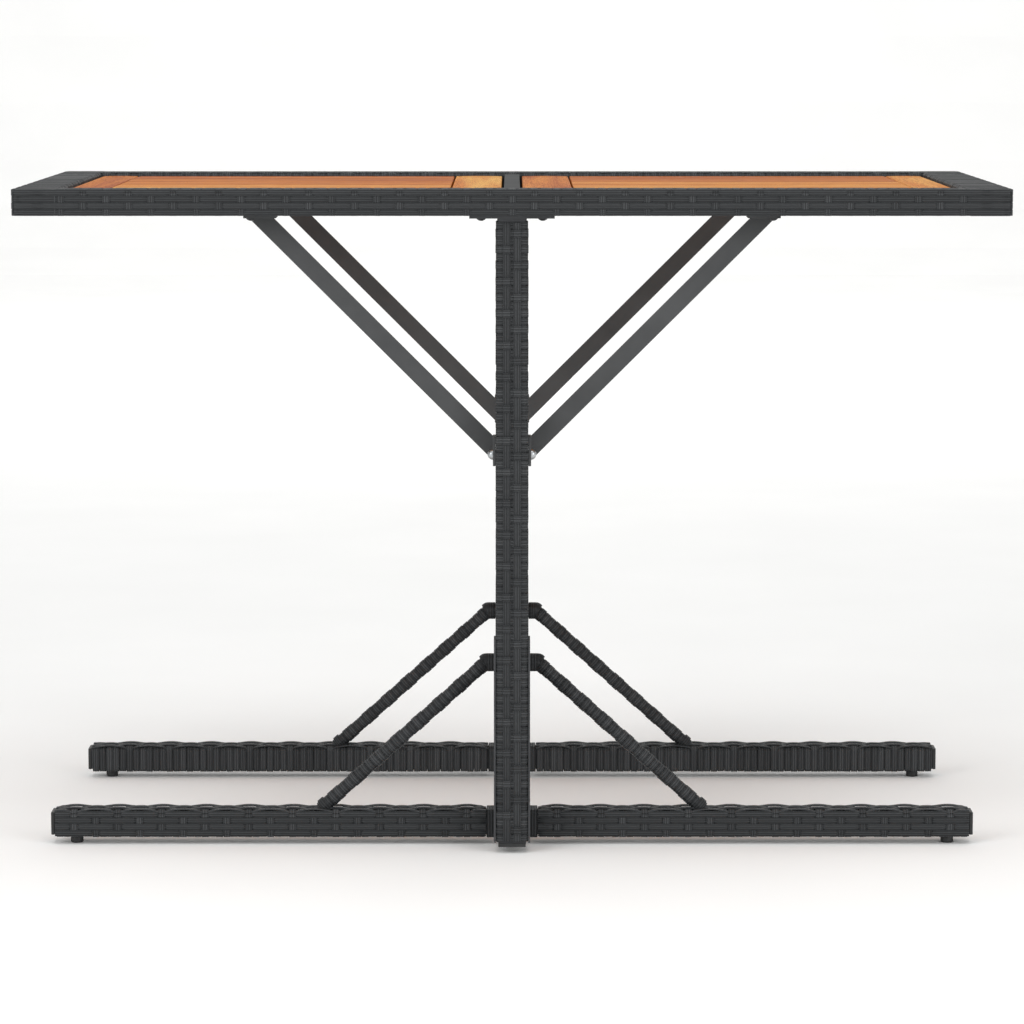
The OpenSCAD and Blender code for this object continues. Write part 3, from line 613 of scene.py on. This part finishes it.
def acacia(name, honey, amber, deep, rough):
    """Acacia: straight to wavy grain, dark pores and wide streaks from honey to deep orange."""
    made, tree, shader = new_material(name)
    grain = add(tree, "ShaderNodeAttribute", {"attribute_name": "grain"}).outputs["Vector"]
    tone = add(tree, "ShaderNodeAttribute", {"attribute_name": "tone"}).outputs["Fac"]
    # Streaks 20 to 40 mm wide and some 0.5 m long, from heartwood to sapwood
    long_way = add(tree, "ShaderNodeMapping", Vector=grain, Scale=(2.0, 32.0, 32.0))
    streak = add(tree, "ShaderNodeTexNoise", Vector=long_way.outputs[0], Scale=1.0, Detail=4.0,
                 Distortion=0.6)
    # Growth rings cut lengthways, some 4 mm apart and a little bent
    ring_way = add(tree, "ShaderNodeMapping", Vector=grain, Scale=(4.0, 250.0, 60.0))
    ring = add(tree, "ShaderNodeTexNoise", Vector=ring_way.outputs[0], Scale=1.0, Detail=2.0,
               Distortion=1.2)
    # Pores 0.8 mm wide and 25 mm long, wider than real ones so that they show
    pore_way = add(tree, "ShaderNodeMapping", Vector=grain, Scale=(40.0, 1250.0, 1250.0))
    pore = add(tree, "ShaderNodeTexNoise", Vector=pore_way.outputs[0], Scale=1.0, Detail=3.0)
    mixed = add(tree, "ShaderNodeMath", {"operation": "MULTIPLY_ADD"},
                i0=streak.outputs["Fac"], i1=1.7, i2=-0.85)
    ringed = add(tree, "ShaderNodeMath", {"operation": "MULTIPLY_ADD"},
                 i0=ring.outputs["Fac"], i1=0.5, i2=-0.25)
    sum_a = add(tree, "ShaderNodeMath", {"operation": "ADD"}, i0=mixed.outputs[0], i1=tone)
    sum_b = add(tree, "ShaderNodeMath", {"operation": "ADD"},
                i0=sum_a.outputs[0], i1=ringed.outputs[0])
    colour = add(tree, "ShaderNodeValToRGB", {"stops": [
        (0.05, honey), (0.5, amber), (0.95, deep)]}, Fac=sum_b.outputs[0])
    dark = add(tree, "ShaderNodeValToRGB", {"stops": [(0.36, "#b08a70"), (0.5, "#ffffff")]},
               Fac=pore.outputs["Fac"])
    final = add(tree, "ShaderNodeMix", {"data_type": "RGBA", "blend_type": "MULTIPLY"},
                Factor=0.8, i6=colour.outputs["Color"], i7=dark.outputs["Color"])
    gloss = add(tree, "ShaderNodeMapRange", Value=pore.outputs["Fac"], To_Min=rough + 0.1,
                To_Max=rough - 0.1)
    bump = add(tree, "ShaderNodeBump", Height=pore.outputs["Fac"], Strength=0.5, Distance=0.0002)
    feed(tree, shader, Base_Color=final.outputs[2], Roughness=gloss.outputs["Result"],
         Normal=bump.outputs["Normal"], Specular_IOR_Level=0.08)
    return made


oiled = acacia("oiled_acacia", "#dfa650", "#cb7b24", "#a95510", 0.55)
sawn = acacia("sawn_acacia", "#c08a58", "#ab6d3c", "#8f5228", 0.7)
chance = random.Random(11)


def plank(name, node, lengthwise, tone, material, ease=0.0012):
    """A board or batten with eased edges, a slight crown and its own stretch of grain."""
    low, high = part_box(node) if isinstance(node, str) else node
    size, middle = high - low, (high + low) / 2
    wide = 1 - lengthwise
    crown = 0.0004
    shape = bmesh.new()
    bmesh.ops.create_cube(shape, size=1.0)
    bmesh.ops.transform(shape, verts=shape.verts, matrix=Matrix.Diagonal((*size, 1.0)))
    bmesh.ops.bevel(shape, geom=list(shape.edges), offset=ease, segments=3, profile=0.5,
                    affect="EDGES", clamp_overlap=True)
    for share in (-0.3, -0.15, 0.0, 0.15, 0.3):
        cut = [0.0, 0.0, 0.0]
        cut[wide] = share * size[wide]
        normal = [0.0, 0.0, 0.0]
        normal[wide] = 1.0
        bmesh.ops.bisect_plane(shape, geom=shape.verts[:] + shape.edges[:] + shape.faces[:],
                               plane_co=cut, plane_no=normal)
    for vertex in shape.verts:
        if vertex.co.z > 0:
            vertex.co.z -= crown * (2 * vertex.co[wide] / size[wide]) ** 2
        vertex.co += middle
    mesh = bpy.data.meshes.new(name)
    shape.to_mesh(mesh)
    shape.free()
    start = [chance.uniform(-9, 9) for _ in range(3)]
    grain = []
    for vertex in mesh.vertices:
        grain += [vertex.co[lengthwise] + start[0], vertex.co[wide] + start[1],
                  vertex.co.z + start[2]]
    mesh.attributes.new("grain", "FLOAT_VECTOR", "POINT").data.foreach_set("vector", grain)
    mesh.attributes.new("tone", "FLOAT", "POINT").data.foreach_set(
        "value", [tone] * len(mesh.vertices))
    mesh.materials.append(material)
    piece = bpy.data.objects.new(name, mesh)
    bpy.context.scene.collection.objects.link(piece)
    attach(piece, "root")
    return piece


# 0 is pale honey and 1 deep orange: the long boards from the front to the back, then the two
# cross boards, beside the crossbar and at the table's end
shades = {"left": ([0.25, 0.42, 0.6, 0.78, 0.9], 0.32, 0.85),
          "right": ([0.2, 0.4, 0.45, 0.7, 0.8], 0.75, 0.5)}
for side, (long_tones, inner_tone, outer_tone) in shades.items():
    named = [(str(k + 1), 0, t) for k, t in enumerate(long_tones)]
    for part, lengthwise, tone in named + [("inner", 1, inner_tone), ("outer", 1, outer_tone)]:
        node = f"board_{side}_{part}"
        board = plank(f"acacia_{node}", node, lengthwise, tone, oiled)
        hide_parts(node)

# Battens: three sawn strips under each panel, set out across the boards
batten_w = 0.030
for side in ("left", "right"):
    low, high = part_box(f"battens_{side}")
    for number, share in enumerate((0.0, 0.5, 1.0)):
        x = low.x + share * (high.x - low.x - batten_w)
        strip = (Vector((x, low.y, low.z)), Vector((x + batten_w, high.y, high.z)))
        batten = plank(f"batten_{side}_{number + 1}", strip, 1, 0.4, sawn,
                       ease=0.0006)
        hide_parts(f"battens_{side}")

# ---------------------------------------------------------------------------------------------
# Posts: square steel tubes with a welded top plate, wound with the same strand. Two long strands
# run down the front and the back, over three wraps and under one. A plastic cap closes the foot.
# ---------------------------------------------------------------------------------------------
finish_nodes(frame_coat, "powder_coated_steel", "post_front", "post_back")
post_pitch = 0.0088
post_strand_t = 0.0015
post_every = 4
column_x = 0.0058
column_w = 0.0082
sleeve_low, sleeve_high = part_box("weave_post_back")
post_half = (sleeve_high.x - sleeve_low.x) / 2
post_mid = (sleeve_low + sleeve_high) / 2
post_length = sleeve_high.z - sleeve_low.z
# The turns are counted over this much more than the sleeve's length
post_extra = 0.003
# The long strands stop 1 mm short of each end of a post, and half of that on a rail
post_row_length = post_length - 0.002
# The plain sides stand out to the sleeve's face; the other two leave room for the long strands
hair = 0.0001
side_out = post_half - post_strand_t
face_out = post_half - 2 * post_strand_t - hair
post_outs = (side_out, face_out, side_out, face_out)
post_wrap_w = 0.0087
post_loops = [wrap_loop("wrap_post_plain", post_outs, [], post_strand_t, post_wrap_w)]
for sign in (-1, 1):
    crossed = [(1, sign * column_x, column_w / 2), (3, sign * column_x, column_w / 2)]
    post_loops.append(wrap_loop(f"wrap_post_{sign + 1}", post_outs, crossed, post_strand_t,
                                post_wrap_w))
# Turns a run along X upright: X to Z, Y to X and Z to Y
upright = Matrix(((0, 1, 0, 0), (0, 0, 1, 0), (1, 0, 0, 0), (0, 0, 0, 1)))
for side, sign in (("front", -1), ("back", 1)):
    spot = Matrix.Translation((0, sign * post_mid.y, post_mid.z)) @ upright
    parts = [(windings(post_length + post_extra, post_loops, post_pitch, post_every), spot)]
    for face in (1, 3):
        for number, shift in enumerate((column_x, -column_x)):
            strip = row_on_face(post_row_length, number, 0.0, column_w, post_strand_t,
                                post_pitch, post_every)
            parts.append((strip, spot @ face_matrix(face, face_out + post_strand_t, shift)))
    joined_piece(f"post_weave_{side}", parts, [f"weave_post_{side}"])


def moulded_plastic():
    """Polypropylene: matt black, with the fine spark-eroded grain of the mould."""
    made, tree, shader = new_material("moulded_black_plastic")
    place = add(tree, "ShaderNodeTexCoord").outputs["Object"]
    # Grain drawn 0.7 mm across, coarser than the real one, and worn patches of some 17 mm
    grit = add(tree, "ShaderNodeTexNoise", Vector=place, Scale=1400.0, Detail=2.0)
    worn = add(tree, "ShaderNodeTexNoise", Vector=place, Scale=60.0, Detail=3.0)
    tone = add(tree, "ShaderNodeValToRGB", {"stops": [(0.3, "#1e1f20"), (0.7, "#292a2b")]},
               Fac=worn.outputs["Fac"])
    bump = add(tree, "ShaderNodeBump", Height=grit.outputs["Fac"], Strength=0.4, Distance=0.00005)
    feed(tree, shader, Base_Color=tone.outputs["Color"], Normal=bump.outputs["Normal"],
         Roughness=0.5, IOR=1.49)
    return made


plastic = moulded_plastic()
eased_copy("post_feet_caps", "post_caps", plastic, radius=0.0012)

# ---------------------------------------------------------------------------------------------
# Base: on each side a folded steel bracket holds the post and carries two rails of square tube.
# The rails are wound like the frame, with long strands on the outer face and arched on the top.
# ---------------------------------------------------------------------------------------------
for side in ("front", "back"):
    eased_copy(f"base_bracket_{side}", f"bracket_{side}", frame_coat,
               radius=0.0005)
finish_nodes(frame_coat, "powder_coated_steel", "rail_front_left", "rail_front_right",
             "rail_back_left", "rail_back_right")
rail_strand_t = 0.0015
rail_arch = 0.0016
binding_t, binding_w = 0.002, 0.0088
weave_low, weave_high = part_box("weave_rail_back_right")
rail_half = (weave_high.y - weave_low.y) / 2
rail_mid = (weave_low + weave_high) / 2
rail_start = weave_low.x + binding_w
rail_run = weave_high.x - rail_start
rail_row_length = rail_run - 0.001
rail_in = rail_half - 2 * rail_strand_t - hair
rail_outs = (rail_in, rail_in, rail_half - rail_strand_t, rail_half - rail_strand_t)
rail_rows = [row_pitch * (k - 1.5) for k in range(4)]
rail_loops = [wrap_loop("wrap_rail_plain", rail_outs, [], rail_strand_t)]
for start in (0, 1):
    crossed = [(0, shift, row_w / 2) for shift in rail_rows[start::2]]
    crossed += [(1, -shift, row_w / 2) for shift in rail_rows[start::2]]
    rail_loops.append(wrap_loop(f"wrap_rail_{start}", rail_outs, crossed, rail_strand_t))
binding_outs = (rail_half - binding_t,) * 4
binding = wrap_loop("wrap_binding", binding_outs, [], binding_t, binding_w)
for across, sign_y in (("front", -1), ("back", 1)):
    for along, sign_x in (("left", -1), ("right", 1)):
        turn = Matrix.Rotation(0 if sign_y > 0 else math.pi, 4, "Z")
        middle = sign_x * (rail_start + rail_run / 2)
        spot = Matrix.Translation((middle, sign_y * rail_mid.y, rail_mid.z)) @ turn
        parts = [(windings(rail_run, rail_loops), spot)]
        for number, shift in enumerate(rail_rows):
            flat = row_on_face(rail_row_length, number % 2, 0.0, thick=rail_strand_t)
            parts.append((flat, spot @ face_matrix(0, rail_in + rail_strand_t, -shift)))
            arched = row_on_face(rail_row_length, number % 2, rail_arch, thick=rail_strand_t)
            parts.append((arched, spot @ face_matrix(1, rail_in + rail_strand_t, shift)))
        band = Matrix.Translation((sign_x * (weave_low.x + binding_w / 2),
                                   sign_y * rail_mid.y, rail_mid.z))
        parts.append((binding.data.copy(), band))
        joined_piece(f"rail_weave_{across}_{along}", parts, [f"weave_rail_{across}_{along}"])
eased_copy("rail_end_caps", "rail_caps", plastic, radius=0.0016)
eased_copy("floor_glides", "glides", plastic, radius=0.0012, angle=60)

# ---------------------------------------------------------------------------------------------
# Lower braces: round steel tubes from the bracket down to the rails, wound all the way with
# strand. The winding swells in slow waves along the tube, and is bound up thick at the hub.
# ---------------------------------------------------------------------------------------------
brace_low, brace_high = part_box("weave_brace_back_right")
core_low, core_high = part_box("lower_brace_back_right")
brace_r = (brace_high.y - brace_low.y) / 2
core_r = (core_high.y - core_low.y) / 2
hub_z = brace_high.z - brace_r
stub_x = 0.009
brace_pitch = 0.0079
brace_strand_t = 0.0013
foot_x = 0.216
bend = Vector((brace_low.x + stub_x, 0, hub_z))
foot = Vector((foot_x, 0, brace_low.z))
down = (foot - bend).normalized()


def round_loop(name, radius, thick, width):
    """A turn on a round tube, through twelve points."""
    angles = [math.radians(30 * k) for k in range(12)]
    return strand_ring(name, [(radius * math.cos(a), radius * math.sin(a), math.cos(a),
                               math.sin(a)) for a in angles], thick, width)


# The winding stands off the tube, most of all at the hub
hub_strand_t = 0.0022
brace_wrap = round_loop("wrap_brace", core_r + 0.0006, brace_strand_t, brace_pitch * 0.99)
hub_wrap = round_loop("wrap_hub", core_r + 0.0022, hub_strand_t, stub_x)
fan_wrap = round_loop("wrap_fan", core_r + 0.0020, hub_strand_t, 0.0052)
foot_wrap = round_loop("wrap_foot", core_r + 0.0014, 0.0018, brace_pitch)
slope_angle = math.atan2(-down.z, down.x)
# A brace has far fewer turns than this, so none of them is a stitch
no_stitch = 1000
finish_nodes(frame_coat, "powder_coated_steel", "lower_brace_front_left",
             "lower_brace_front_right", "lower_brace_back_left", "lower_brace_back_right")
for across, sign_y in (("front", -1), ("back", 1)):
    for along, sign_x in (("left", -1), ("right", 1)):
        spot = Matrix.Translation((0, sign_y * rail_mid.y, 0)) @ Matrix.Rotation(
            0 if sign_x > 0 else math.pi, 4, "Z")
        slope = grown(winding, [bend, foot - 0.3 * brace_pitch * down], {
            "Pitch": brace_pitch, "Wraps per stitch": no_stitch, "First turn": 1,
            "Plain wrap": brace_wrap, "Wrap over odd rows": brace_wrap,
            "Wrap over even rows": brace_wrap, "Swell": 0.06, "Swell length": 0.031,
            "Unevenness": 0.02, "Strand": strand})
        lean = Matrix.Rotation(slope_angle, 4, "Y")
        parts = [(slope, spot),
                 (hub_wrap.data.copy(), spot @ Matrix.Translation(
                     (brace_low.x + stub_x / 2, 0, hub_z))),
                 (foot_wrap.data.copy(), spot @ Matrix.Translation(
                     foot - 0.6 * brace_pitch * down) @ lean)]
        # Round the bend the turns fan out, packed close on its lower side
        for share in (0.15, 0.4, 0.65, 0.9):
            fanned = Matrix.Rotation(share * slope_angle, 4, "Y")
            parts.append((fan_wrap.data.copy(), spot @ Matrix.Translation(bend) @ fanned))
        joined_piece(f"brace_weave_{across}_{along}", parts, [f"weave_brace_{across}_{along}"])

# ---------------------------------------------------------------------------------------------
# Upper braces: flat steel bars with an ear at each end, bolted to the post and under the frame.
# Bare of weave, powder coated a shade lighter than the frame.
# ---------------------------------------------------------------------------------------------
brace_coat = powder_coat("powder_coated_flat_bar", "#454647", "#505152")
for across in ("front", "back"):
    for along in ("left", "right"):
        eased_copy(f"flat_brace_{across}_{along}", f"upper_brace_{across}_{along}", brace_coat,
                   radius=0.0006)

# ---------------------------------------------------------------------------------------------
# Fasteners: black-oxide bolts under the top, zinc-plated domed bolts through the posts, rivet nuts
# in the tubes and countersunk wood screws. They hold every joint, so they stay as they are.
# ---------------------------------------------------------------------------------------------


def plated(name, dark, light, metallic, rough):
    """A plated steel fastener: tumbled, so it has fine scratches and a slightly cloudy shine."""
    made, tree, shader = new_material(name)
    place = add(tree, "ShaderNodeTexCoord").outputs["Object"]
    # Marks drawn 1 mm across, coarser than real scratches, on clouds of some 5 mm
    scratch = add(tree, "ShaderNodeTexNoise", Vector=place, Scale=900.0, Detail=4.0)
    cloud = add(tree, "ShaderNodeTexNoise", Vector=place, Scale=220.0, Detail=2.0)
    tone = add(tree, "ShaderNodeValToRGB", {"stops": [(0.3, dark), (0.7, light)]},
               Fac=cloud.outputs["Fac"])
    gloss = add(tree, "ShaderNodeMapRange", Value=scratch.outputs["Fac"], To_Min=rough - 0.1,
                To_Max=rough + 0.15)
    bump = add(tree, "ShaderNodeBump", Height=scratch.outputs["Fac"], Strength=0.2,
               Distance=0.00003)
    feed(tree, shader, Base_Color=tone.outputs["Color"], Roughness=gloss.outputs["Result"],
         Normal=bump.outputs["Normal"], Metallic=metallic)
    return made


zinc = plated("zinc_plated_steel", "#9fa3a6", "#c2c5c7", 1.0, 0.32)
black_oxide = plated("black_oxide_steel", "#2b2c2e", "#3a3b3d", 0.6, 0.4)
finish_nodes(black_oxide, "black_bolts", "top_bolts")
finish_nodes(zinc, "zinc_bolts", "post_bolts", "bracket_bolts", "rivet_nuts", "wood_screws")

# The loops were only patterns for the windings
for pattern in [o for o in bpy.data.objects if o.name.startswith("wrap_")]:
    bpy.data.objects.remove(pattern)

# ---------------------------------------------------------------------------------------------
# Studio: a floor of pale paper that curves up behind the table, a large soft light above, one at
# each side and one for the backdrop, and a long lens.
# ---------------------------------------------------------------------------------------------
sweep = bpy.data.meshes.new("studio_floor")
wall_y, wall_h, sweep_r, sweep_half_w, sweep_steps = 12.0, 12.0, 3.0, 16.0, 12
profile = [(-14.0, 0.0)]
for step in range(sweep_steps + 1):
    angle = step * math.pi / 2 / sweep_steps
    profile.append((wall_y - sweep_r + sweep_r * math.sin(angle),
                    sweep_r - sweep_r * math.cos(angle)))
profile.append((wall_y, wall_h))
points = [(x, y, z) for y, z in profile for x in (-sweep_half_w, sweep_half_w)]
sweep.from_pydata(points, [], [(2 * k, 2 * k + 1, 2 * k + 3, 2 * k + 2)
                               for k in range(len(profile) - 1)])
floor = bpy.data.objects.new("studio_floor", sweep)
bpy.context.scene.collection.objects.link(floor)
paper, tree, shader = new_material("white_studio_paper")
place = add(tree, "ShaderNodeTexCoord").outputs["Object"]
fleck = add(tree, "ShaderNodeTexNoise", Vector=place, Scale=3.0, Detail=2.0)
white = add(tree, "ShaderNodeValToRGB", {"stops": [(0.3, "#fafaf9"), (0.7, "#fdfdfc")]},
            Fac=fleck.outputs["Fac"])
feed(tree, shader, Base_Color=white.outputs["Color"], Roughness=0.9)
sweep.materials.append(paper)

for name, size, power, spot, aim in (
        ("overhead_light", 4.0, 75.0, (0.0, -0.8, 4.2), (0, 0, 0.4)),
        ("left_light", 2.5, 70.0, (-3.2, -3.0, 2.0), (0, 0, 0.5)),
        ("right_light", 2.5, 55.0, (3.2, -3.0, 1.6), (0, 0, 0.5)),
        ("backdrop_light", 5.0, 260.0, (0.0, 5.0, 6.0), (0, 11.0, 1.5))):
    lamp = bpy.data.lights.new(name, "AREA")
    lamp.size = size
    lamp.energy = power
    stand = bpy.data.objects.new(name, lamp)
    stand.location = spot
    stand.rotation_euler = (Vector(aim) - Vector(spot)).to_track_quat("-Z", "Y").to_euler()
    bpy.context.scene.collection.objects.link(stand)
world = bpy.data.worlds.new("studio_air")
bpy.context.scene.world = world
world.use_nodes = True
world.node_tree.nodes["Background"].inputs["Color"].default_value = (1.0, 1.0, 1.0, 1.0)
world.node_tree.nodes["Background"].inputs["Strength"].default_value = 0.55
bpy.context.scene.view_settings.view_transform = "Standard"

# The camera stands 4.5 m away, a little above the tabletop, and looks down by 7.234 degrees
pitch_down = 7.234
lens = bpy.data.cameras.new("camera")
lens.sensor_width = 36.0
lens.lens = 134.95
lens.clip_end = 100.0
camera = bpy.data.objects.new("camera", lens)
camera.location = (0.0, -4.482, 0.9228)
camera.rotation_euler = (math.radians(90 - pitch_down), 0.0, 0.0)
bpy.context.scene.collection.objects.link(camera)
bpy.context.scene.camera = camera
